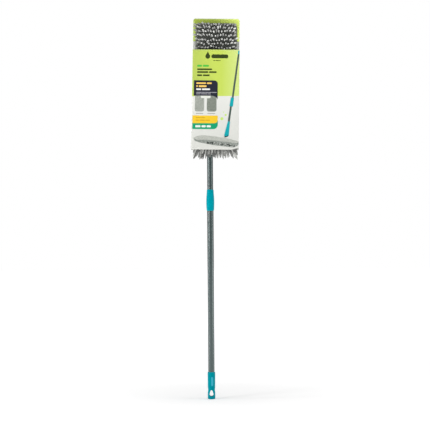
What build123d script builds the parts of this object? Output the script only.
from build123d import *
import os

# Telescopic flat mop, packed with its head folded beside the pole in a card sleeve.
# Millimetres. The pole's axis is +Z through the origin, the hang cap's end is at z = 0,
# and the mop head lies in front of the pole, towards -Y.

# ---- driving dimensions: pole ----
TUBE_R = 11.0                # outer tube over its coating
TUBE_WALL = 0.5
COAT = 0.08                  # the coating stops where the cap and the collet sit
GROOVE = 0.25                # rolled grooves beside the cap and the collar
GROOVE_L = 1.5
TUBE_BOTTOM = 44.0
CAP_TOP = 92.0
COLLAR_BOTTOM = 640.0
COLLAR_TOP = 712.0
TUBE_TOP = 676.0
INNER_R = 10.0
INNER_WALL = 0.5
INNER_BOTTOM = 290.0
INNER_TOP = 997.0
RUN = 0.05                   # radial running clearance

# ---- driving dimensions: hang cap ----
CAP_END_R = 12.9
CAP_WAIST_R = 11.6
CAP_MOUTH_R = 13.0
HOLE_LOW_R = 6.6
HOLE_LOW_Z = 16.5
HOLE_HIGH_R = 3.8
HOLE_HIGH_Z = 27.0

# ---- driving dimensions: collet and collar ----
COLLAR_R = 13.5
COLLET_R = 11.86
COLLAR_BORE_R = 11.94
COLLET_BOTTOM = 648.3
FINGER_TAPER = 690.0         # above this the fingers narrow
COLLET_TOP = 700.0
FINGER_TIP_R = 11.1
FLUTES = 10

# ---- driving dimensions: swivel joint ----
HEAD_X = 21.5                # the head's centre line stands beside the pole
PIVOT_Z = 1060.0
PIN_R = 3.0
SOCKET_BOTTOM = 927.0
FORK_HALF = 12.2             # the fork's half thickness along Y
FORK_GAP = 6.2               # half the gap between its prongs
PRONG_R = 11.8
YOKE_HALF = 5.9
BARREL_R = 7.5
BARREL_HALF = 15.0
LUG_NEAR = 15.3              # lug faces, measured along Z from the pivot
LUG_FAR = 21.3

# ---- driving dimensions: mop head ----
PLATE_BACK = -24.5
PLATE_FRONT = -34.5
PLATE_W = 124.0
PLATE_L = 412.0
PAD_W = 140.0
PAD_L = 428.0
CHENILLE_FRONT = -59.5
CHENILLE_BACK = -34.8
MICRO_FRONT = -24.2
MICRO_BACK = -16.6

# ---- driving dimensions: card sleeve ----
CARD = 0.6
CARD_W = 158.0
CARD_BACK = -15.0
CARD_FRONT = -64.0
CARD_BOTTOM = 845.5
FRONT_TOP = 1182.0
SLOT_TOP = 1086.0
SLOT_W = 38.0
FLAP_BOTTOM = 1214.0
CARD_TOP = 1291.0


def tube(outer, inner, low, high):
    """A hollow cylinder on the pole's axis."""
    wall = Cylinder(outer, high - low, align=(Align.CENTER, Align.CENTER, Align.MIN))
    bore = Cylinder(inner, high - low, align=(Align.CENTER, Align.CENTER, Align.MIN))
    return Pos(0, 0, low) * (wall - bore)


def rod(radius, low, high, x=0.0, y=0.0):
    """A solid cylinder along Z."""
    body = Cylinder(radius, high - low, align=(Align.CENTER, Align.CENTER, Align.MIN))
    return Pos(x, y, low) * body


def taper(low_r, high_r, low, high):
    """A solid cone frustum on the pole's axis."""
    body = Cone(low_r, high_r, high - low, align=(Align.CENTER, Align.CENTER, Align.MIN))
    return Pos(0, 0, low) * body


def rod_y(radius, low, high, x, z):
    """A solid cylinder along Y."""
    body = Cylinder(radius, high - low)
    return Pos(x, (low + high) / 2, z) * Rot(90, 0, 0) * body


def block(x0, x1, y0, y1, z0, z1):
    """A box between two corners."""
    body = Box(x1 - x0, y1 - y0, z1 - z0)
    return Pos((x0 + x1) / 2, (y0 + y1) / 2, (z0 + z1) / 2) * body


def slab(sketch, y0, y1):
    """A sketch drawn in X and Z, given the thickness from y0 to y1."""
    return Pos(0, y1, 0) * extrude(Plane.XZ * sketch, amount=y1 - y0)


def rounded(x, z, width, length, radius):
    """A rounded rectangle centred at x, z."""
    return Pos(x, z) * RectangleRounded(width, length, radius)


def hang_cap():
    """Moulded end cap with a waist and a teardrop hang hole."""
    with BuildPart() as cap:
        with BuildSketch(Plane.XZ):
            with BuildLine():
                Line((0, 0), (8.6, 0))
                ThreePointArc((8.6, 0), (11.4, 1.2), (CAP_END_R - 0.1, 4.4))
                Line((CAP_END_R - 0.1, 4.4), (CAP_END_R, 19))
                Spline((CAP_END_R, 19), (CAP_WAIST_R, 32), (CAP_END_R - 0.2, 43), tangents=((0, 1), (0, 1)))
                Line((CAP_END_R - 0.2, 43), (CAP_MOUTH_R, CAP_TOP - 1.2))
                Line((CAP_MOUTH_R, CAP_TOP - 1.2), (CAP_MOUTH_R - 0.8, CAP_TOP))
                Line((CAP_MOUTH_R - 0.8, CAP_TOP), (0, CAP_TOP))
                Line((0, CAP_TOP), (0, 0))
            make_face()
        revolve(axis=Axis.Z)
    with BuildSketch() as drop:
        with Locations((0, HOLE_LOW_Z)):
            Circle(HOLE_LOW_R)
        with Locations((0, HOLE_HIGH_Z)):
            Circle(HOLE_HIGH_R)
        make_hull()
    reach = CAP_MOUTH_R + 2
    body = cap.part - slab(drop.sketch, -reach, reach)
    body -= rod(TUBE_R - COAT + 0.03, TUBE_BOTTOM, CAP_TOP + 1)
    # worn-soft rim round the hole
    rim = offset(drop.sketch, 0.9)
    body -= slab(rim, -reach, -CAP_WAIST_R + 0.3)
    body -= slab(rim, CAP_WAIST_R - 0.3, reach)
    # plain raised pad on the grip
    pad = slab(Pos(2.5, 60.5) * SlotOverall(31, 7.6, rotation=90), -CAP_MOUTH_R - 0.2, -TUBE_R - 0.4)
    return body + pad


def outer_tube():
    """Coated steel tube, bare where the cap and the collet sit."""
    low = tube(TUBE_R - COAT, TUBE_R - TUBE_WALL, TUBE_BOTTOM, CAP_TOP)
    middle = tube(TUBE_R, TUBE_R - TUBE_WALL, CAP_TOP, COLLAR_BOTTOM)
    high = tube(TUBE_R - COAT, TUBE_R - TUBE_WALL, COLLAR_BOTTOM, TUBE_TOP)
    body = low + middle + high
    for z in (CAP_TOP, COLLAR_BOTTOM - GROOVE_L):
        body -= tube(TUBE_R + 1, TUBE_R - GROOVE, z, z + GROOVE_L)
    return body


def collet():
    """Slotted collet: a skirt on the outer tube and fingers round the inner tube."""
    body = rod(COLLET_R, COLLET_BOTTOM, FINGER_TAPER)
    body += taper(COLLET_R, FINGER_TIP_R, FINGER_TAPER, COLLET_TOP)
    body -= rod(TUBE_R - COAT + 0.03, COLLET_BOTTOM - 1, TUBE_TOP)
    body -= rod(INNER_R + RUN, TUBE_TOP, COLLET_TOP + 1)
    for angle in (0, 60, 120):
        slot = block(-COLLET_R - 1, COLLET_R + 1, -0.8, 0.8, TUBE_TOP + 6, COLLET_TOP + 1)
        body -= Rot(0, 0, angle) * slot
    return body


def lock_collar():
    """Barrel collar with finger flutes, captive on the collet."""
    with BuildPart() as collar:
        with BuildSketch(Plane.XZ):
            with BuildLine():
                Line((0, COLLAR_BOTTOM), (11.7, COLLAR_BOTTOM))
                ThreePointArc((11.7, COLLAR_BOTTOM), (12.5, 643.2), (12.9, 648))
                Spline(
                    (12.9, 648),
                    (COLLAR_R, 664),
                    (COLLAR_R - 0.1, 678),
                    (12.75, 690),
                    (12.05, 699),
                    (11.75, 706),
                )
                Line((11.75, 706), (11.2, COLLAR_TOP))
                Line((11.2, COLLAR_TOP), (0, COLLAR_TOP))
                Line((0, COLLAR_TOP), (0, COLLAR_BOTTOM))
            make_face()
        revolve(axis=Axis.Z)
    body = collar.part
    body -= rod(TUBE_R + 0.35, COLLAR_BOTTOM - 1, COLLET_BOTTOM)
    body -= rod(COLLAR_BORE_R, COLLET_BOTTOM - 0.3, FINGER_TAPER)
    body -= taper(COLLAR_BORE_R, FINGER_TIP_R + 0.1, FINGER_TAPER, COLLET_TOP + 0.4)
    body -= rod(INNER_R + 0.4, COLLET_TOP, COLLAR_TOP + 1)
    for i in range(FLUTES):
        groove = rod(2.4, 652, 690, x=COLLAR_R + 2.0)
        body -= Rot(0, 0, 18 + i * 360 / FLUTES) * groove
    return body


# guide on the inner tube's lower end
PLUG_BOTTOM = INNER_BOTTOM - 28.0
GROOVE_BOTTOM = INNER_BOTTOM - 22.0
GROOVE_TOP = INNER_BOTTOM - 4.0
NECK_R = 8.5


def guide_plug():
    """Plug pressed into the inner tube, with a groove for the guide ring."""
    body = rod(INNER_R - INNER_WALL, INNER_BOTTOM, INNER_BOTTOM + 28)
    body += rod(INNER_R - 0.1, GROOVE_TOP, INNER_BOTTOM)
    body += rod(NECK_R, GROOVE_BOTTOM, GROOVE_TOP)
    body += rod(INNER_R - 0.1, PLUG_BOTTOM, GROOVE_BOTTOM)
    body -= rod(6.5, PLUG_BOTTOM - 1, INNER_BOTTOM + 24)
    return body


def guide_ring():
    """Split ring that rides in the plug's groove and runs in the outer tube."""
    body = tube(TUBE_R - TUBE_WALL - 0.07, NECK_R + 0.06, GROOVE_BOTTOM + 0.3, GROOVE_TOP - 0.3)
    body -= block(0, TUBE_R, -1, 1, GROOVE_BOTTOM, GROOVE_TOP)
    return body


def inner_tube():
    """Coated steel tube, drilled for the socket's screw."""
    body = tube(INNER_R, INNER_R - INNER_WALL, INNER_BOTTOM, INNER_TOP)
    return body - rod_y(1.6, 0, TUBE_R, 0, SOCKET_BOTTOM + 22)


def socket():
    """Forked socket: a tapered sleeve on the inner tube and two prongs round the swing pin."""
    sleeve = taper(11.8, 13.0, SOCKET_BOTTOM, SOCKET_BOTTOM + 62)
    with BuildSketch() as face:
        with BuildLine():
            Line((-12.2, -86), (12.2, -86))
            Spline((12.2, -86), (14.5, -63), (18.6, -44), tangents=((0.1, 1), (0.3, 1)))
            ThreePointArc((18.6, -44), (17.8, -34), (12.4, -27))
            Line((12.4, -27), (PRONG_R, -18))
            Line((PRONG_R, -18), (PRONG_R, 0))
            ThreePointArc((PRONG_R, 0), (0, PRONG_R), (-PRONG_R, 0))
            Line((-PRONG_R, 0), (-PRONG_R, -18))
            Line((-PRONG_R, -18), (-12.4, -27))
            ThreePointArc((-12.4, -27), (-17.8, -34), (-18.6, -44))
            Spline((-18.6, -44), (-14.5, -63), (-12.2, -86), tangents=((0.3, -1), (0.1, -1)))
        make_face()
    fork = Pos(0, 0, PIVOT_Z) * slab(face.sketch, -FORK_HALF, FORK_HALF)
    fork = chamfer(fork.faces().sort_by(Axis.Y)[0].edges(), 1.4)
    fork = chamfer(fork.faces().sort_by(Axis.Y)[-1].edges(), 1.4)
    body = sleeve + fork
    body -= rod(INNER_R, SOCKET_BOTTOM - 1, INNER_TOP)
    # gap between the prongs, and a lightening pocket on each face
    body -= block(-30, 30, -FORK_GAP, FORK_GAP, PIVOT_Z - 12.5, PIVOT_Z + 30)
    pocket = rounded(0, PIVOT_Z - 44, 22, 12, 4)
    body -= slab(pocket, FORK_HALF - 3, FORK_HALF + 1)
    body -= slab(pocket, -FORK_HALF - 1, -FORK_HALF + 3)
    body -= rod_y(PIN_R, -20, 20, 0, PIVOT_Z)
    body -= rod_y(1.6, 0, 20, 0, SOCKET_BOTTOM + 22)
    return body


def socket_screw():
    """Self-tapping screw through the socket into the inner tube."""
    z = SOCKET_BOTTOM + 22
    head = rod_y(2.9, 12.4, 14.0, 0, z)
    shank = rod_y(1.6, 7.5, 12.4, 0, z)
    return head + shank - block(-2, 2, 13.3, 15, z - 0.4, z + 0.4)


def swing_pin():
    """Headed pin through both prongs and the yoke."""
    return rod_y(PIN_R, -FORK_HALF, FORK_HALF + 2.4, 0, PIVOT_Z) + rod_y(
        5.2, -FORK_HALF - 1.1, -FORK_HALF, 0, PIVOT_Z
    )


def swing_clip():
    """Push-on clip on the swing pin's end."""
    return rod_y(5.6, FORK_HALF, FORK_HALF + 0.9, 0, PIVOT_Z) - rod_y(PIN_R, 0, 30, 0, PIVOT_Z)


def yoke():
    """Knuckle: a tongue on the swing pin and a barrel on the tilt pin, at right angles."""
    body = rod_y(11.0, -YOKE_HALF, YOKE_HALF, 0, PIVOT_Z)
    body += block(0, HEAD_X, -YOKE_HALF, YOKE_HALF, PIVOT_Z - 8, PIVOT_Z + 8)
    body += rod(BARREL_R, PIVOT_Z - BARREL_HALF, PIVOT_Z + BARREL_HALF, x=HEAD_X)
    body -= rod_y(PIN_R + RUN, -20, 20, 0, PIVOT_Z)
    body -= rod(PIN_R + RUN, PIVOT_Z - 30, PIVOT_Z + 30, x=HEAD_X)
    return body


def tilt_pin():
    """Headed pin through both lugs and the yoke's barrel."""
    return rod(PIN_R, PIVOT_Z - LUG_FAR - 2.4, PIVOT_Z + LUG_FAR, x=HEAD_X) + rod(
        5.2, PIVOT_Z + LUG_FAR, PIVOT_Z + LUG_FAR + 1.2, x=HEAD_X
    )


def tilt_clip():
    """Push-on clip on the tilt pin's end."""
    low = PIVOT_Z - LUG_FAR - 0.9
    return rod(5.6, low, low + 0.9, x=HEAD_X) - rod(PIN_R, low - 1, low + 2, x=HEAD_X)


# places of the bracket's four screws
SCREW_X = (HEAD_X - 18, HEAD_X + 18)
SCREW_Z = (PIVOT_Z - 26, PIVOT_Z + 26)
BASE_TOP = PLATE_BACK + 3.5


def swivel_bracket():
    """Base plate with two lugs that hold the tilt pin."""
    base = slab(rounded(HEAD_X, PIVOT_Z, 48, 66, 7), PLATE_BACK, BASE_TOP)
    body = base
    for side in (-1, 1):
        near = PIVOT_Z + side * LUG_NEAR
        far = PIVOT_Z + side * LUG_FAR
        low = min(near, far)
        high = max(near, far)
        lug = rod(BARREL_R, low, high, x=HEAD_X)
        lug += block(HEAD_X - BARREL_R, HEAD_X + BARREL_R, BASE_TOP - 1, 0, low, high)
        # gusset that spreads the lug's foot
        with BuildSketch(Plane.XY) as foot:
            with BuildLine():
                Polyline(
                    (HEAD_X - 14, BASE_TOP - 1),
                    (HEAD_X + 14, BASE_TOP - 1),
                    (HEAD_X + BARREL_R, BASE_TOP + 6),
                    (HEAD_X - BARREL_R, BASE_TOP + 6),
                    close=True,
                )
            make_face()
        lug += Pos(0, 0, low) * extrude(foot.sketch, amount=high - low)
        body += lug
    body -= rod(PIN_R, PIVOT_Z - 30, PIVOT_Z + 30, x=HEAD_X)
    for x in SCREW_X:
        for z in SCREW_Z:
            body -= rod_y(2.1, PLATE_BACK - 1, BASE_TOP + 1, x, z)
    return body


def bracket_screws():
    """Four pan-head screws through the bracket's base into the plate."""
    screws = []
    for x in SCREW_X:
        for z in SCREW_Z:
            screw = rod_y(3.6, BASE_TOP, BASE_TOP + 1.8, x, z)
            screw += rod_y(1.9, PLATE_BACK - 7, BASE_TOP, x, z)
            screw -= block(x - 2.4, x + 2.4, BASE_TOP + 1, BASE_TOP + 3, z - 0.45, z + 0.45)
            screw -= block(x - 0.45, x + 0.45, BASE_TOP + 1, BASE_TOP + 3, z - 2.4, z + 2.4)
            screws.append(screw)
    return Compound(children=screws)


def head_plate():
    """Rigid moulded plate: a face, a rim, ribs and a solid seat for the bracket."""
    outline = rounded(HEAD_X, PIVOT_Z, PLATE_W, PLATE_L, 12)
    body = slab(outline, PLATE_FRONT, PLATE_BACK)
    hollow = rounded(HEAD_X, PIVOT_Z, PLATE_W - 6, PLATE_L - 6, 9)
    body -= slab(hollow, PLATE_FRONT + 2.4, PLATE_BACK)
    ribs = []
    for x in (-30, 0, 30):
        ribs.append(
            block(
                HEAD_X + x - 1.1,
                HEAD_X + x + 1.1,
                PLATE_FRONT + 1,
                PLATE_BACK - 0.6,
                PIVOT_Z - PLATE_L / 2 + 2,
                PIVOT_Z + PLATE_L / 2 - 2,
            )
        )
    for i in range(-4, 5):
        z = PIVOT_Z + i * 45
        ribs.append(
            block(
                HEAD_X - PLATE_W / 2 + 2,
                HEAD_X + PLATE_W / 2 - 2,
                PLATE_FRONT + 1,
                PLATE_BACK - 0.6,
                z - 1.1,
                z + 1.1,
            )
        )
    for rib in ribs:
        body += rib
    body += slab(rounded(HEAD_X, PIVOT_Z, 54, 72, 8), PLATE_FRONT, PLATE_BACK)
    for x in SCREW_X:
        for z in SCREW_Z:
            body -= rod_y(1.9, PLATE_BACK - 7, PLATE_BACK + 1, x, z)
    return body


def chenille_pad():
    """Envelope of the noodle face of the pad."""
    outline = rounded(HEAD_X, PIVOT_Z, PAD_W, PAD_L, 16)
    body = slab(outline, CHENILLE_FRONT, CHENILLE_BACK)
    return fillet(body.faces().sort_by(Axis.Y)[0].edges(), 9)


# openings in the flat face of the pad
APERTURE_W = 60.0
APERTURE_L = 78.0
SLIT_W = 3.0
STUD_Z = (PIVOT_Z - 110, PIVOT_Z - 180)
STUD_X = 11.0


def microfibre_pad():
    """Flat face of the pad, open round the bracket, with a slit down to its lower end."""
    outline = rounded(HEAD_X, PIVOT_Z, PAD_W, PAD_L, 16)
    body = slab(outline, MICRO_FRONT, MICRO_BACK)
    body = fillet(body.faces().sort_by(Axis.Y)[-1].edges(), 3)
    body -= slab(rounded(HEAD_X, PIVOT_Z, APERTURE_W, APERTURE_L, 10), -40, 0)
    body -= block(HEAD_X - SLIT_W / 2, HEAD_X + SLIT_W / 2, -40, 0, PIVOT_Z - PAD_L, PIVOT_Z)
    for z in STUD_Z:
        for side in (-1, 1):
            body -= rod_y(5.3, MICRO_BACK - 1.2, 0, HEAD_X + side * STUD_X, z)
    return body


def press_studs():
    """Four press studs beside the slit."""
    studs = []
    for z in STUD_Z:
        for side in (-1, 1):
            x = HEAD_X + side * STUD_X
            stud = rod_y(5.0, MICRO_BACK - 1.2, MICRO_BACK - 0.2, x, z)
            stud += rod_y(2.4, MICRO_BACK - 0.2, MICRO_BACK + 0.4, x, z)
            studs.append(stud)
    return Compound(children=studs)


def edge_band():
    """Sewn fabric band round the plate's edge that joins both faces of the pad."""
    outer = rounded(HEAD_X, PIVOT_Z, PLATE_W + 6, PLATE_L + 6, 15)
    inner = rounded(HEAD_X, PIVOT_Z, PLATE_W + 1, PLATE_L + 1, 12.5)
    return slab(outer - inner, CHENILLE_BACK + 0.1, MICRO_FRONT - 0.1)


CARD_LEFT = HEAD_X - CARD_W / 2
CARD_RIGHT = HEAD_X + CARD_W / 2


def card_front():
    return block(CARD_LEFT, CARD_RIGHT, CARD_FRONT, CARD_FRONT + CARD, CARD_BOTTOM, FRONT_TOP)


def card_side(x0):
    return block(x0, x0 + CARD, CARD_FRONT + CARD, CARD_BACK - CARD, CARD_BOTTOM, FRONT_TOP)


def card_back_leaf(x0, x1):
    return block(x0, x1, CARD_BACK - CARD, CARD_BACK, CARD_BOTTOM, SLOT_TOP)


def header_outline(bottom):
    """Header board's outline with its top corners rounded."""
    height = CARD_TOP - bottom
    board = Pos(HEAD_X, bottom + height / 2) * Rectangle(CARD_W, height)
    top = board.vertices().sort_by(Axis.Y)[-2:]
    return fillet(top, 5)


def card_header():
    return slab(header_outline(SLOT_TOP), CARD_BACK - CARD, CARD_BACK)


def card_header_flap():
    return slab(header_outline(FLAP_BOTTOM), CARD_BACK - 2 * CARD, CARD_BACK - CARD)


NODES = {
    "hang_cap": hang_cap,
    "outer_tube": outer_tube,
    "collet": collet,
    "lock_collar": lock_collar,
    "guide_ring": guide_ring,
    "guide_plug": guide_plug,
    "inner_tube": inner_tube,
    "socket": socket,
    "socket_screw": socket_screw,
    "swing_pin": swing_pin,
    "swing_clip": swing_clip,
    "yoke": yoke,
    "tilt_pin": tilt_pin,
    "tilt_clip": tilt_clip,
    "swivel_bracket": swivel_bracket,
    "bracket_screws": bracket_screws,
    "head_plate": head_plate,
    "chenille_pad": chenille_pad,
    "microfibre_pad": microfibre_pad,
    "press_studs": press_studs,
    "edge_band": edge_band,
    "card_front": card_front,
    "card_left_side": lambda: card_side(CARD_LEFT),
    "card_right_side": lambda: card_side(CARD_RIGHT - CARD),
    "card_back_left": lambda: card_back_leaf(CARD_LEFT, HEAD_X - SLOT_W / 2),
    "card_back_right": lambda: card_back_leaf(HEAD_X + SLOT_W / 2, CARD_RIGHT),
    "card_header": card_header,
    "card_header_flap": card_header_flap,
}

os.makedirs("parts", exist_ok=True)
for node, make in NODES.items():
    export_step(make(), f"parts/{node}.step")
